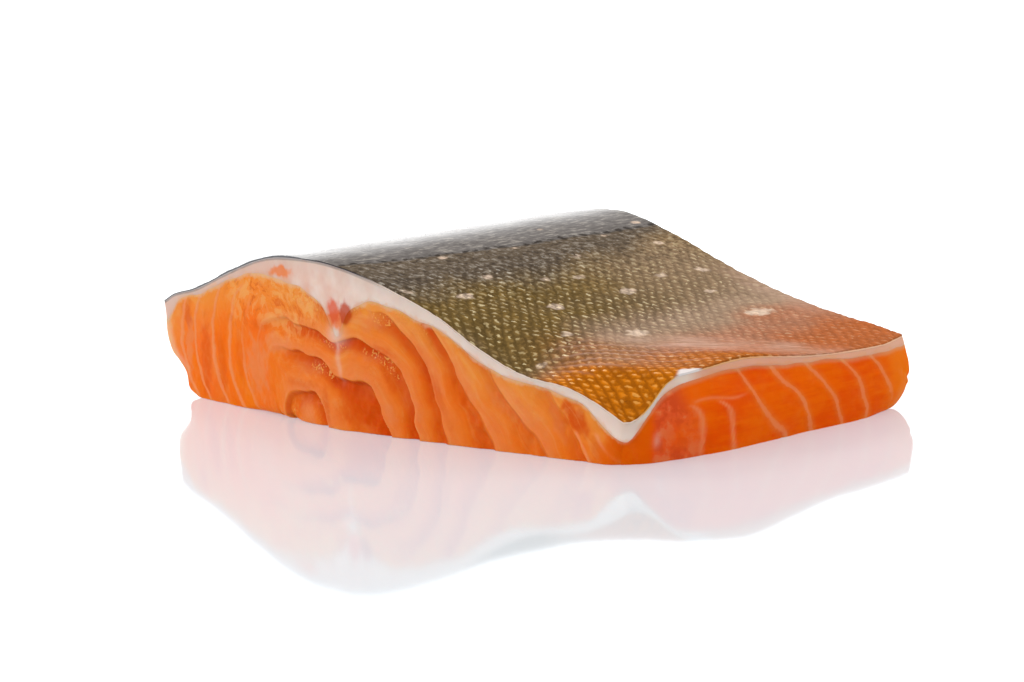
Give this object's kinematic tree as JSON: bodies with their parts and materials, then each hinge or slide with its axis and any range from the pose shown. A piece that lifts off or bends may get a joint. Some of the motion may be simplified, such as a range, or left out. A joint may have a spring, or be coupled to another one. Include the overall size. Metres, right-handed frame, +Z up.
{
  "type": "salmon fillet portion",
  "caption": "Raw salmon fillet portion lying skin up: orange flaky flesh with stepped cut faces, a white fat layer and a thin scaled skin.",
  "frame": {"origin": "centre of the bounding box's bottom face, on the surface that the fillet rests on", "axes": "+X from the trimmed back edge to the belly edge, +Y along the fish from the near cut to the far cut, +Z up out of the flat flesh side through the skin"},
  "size_m": [0.1764, 0.108, 0.0359],
  "materials": {
    "flesh": "wet raw fish muscle, translucent orange with paler lines of connective tissue",
    "fat": "wet cream white fat with a pink tint, soft and slightly translucent",
    "skin": "wet scaled fish skin, slate grey on the back, olive on the flank, gold and copper at the belly, with pale spots"
  },
  "bodies": {
    "root": {"flesh": "flesh", "fat_layer": "fat", "skin": "skin"}
  },
  "joints": []
}
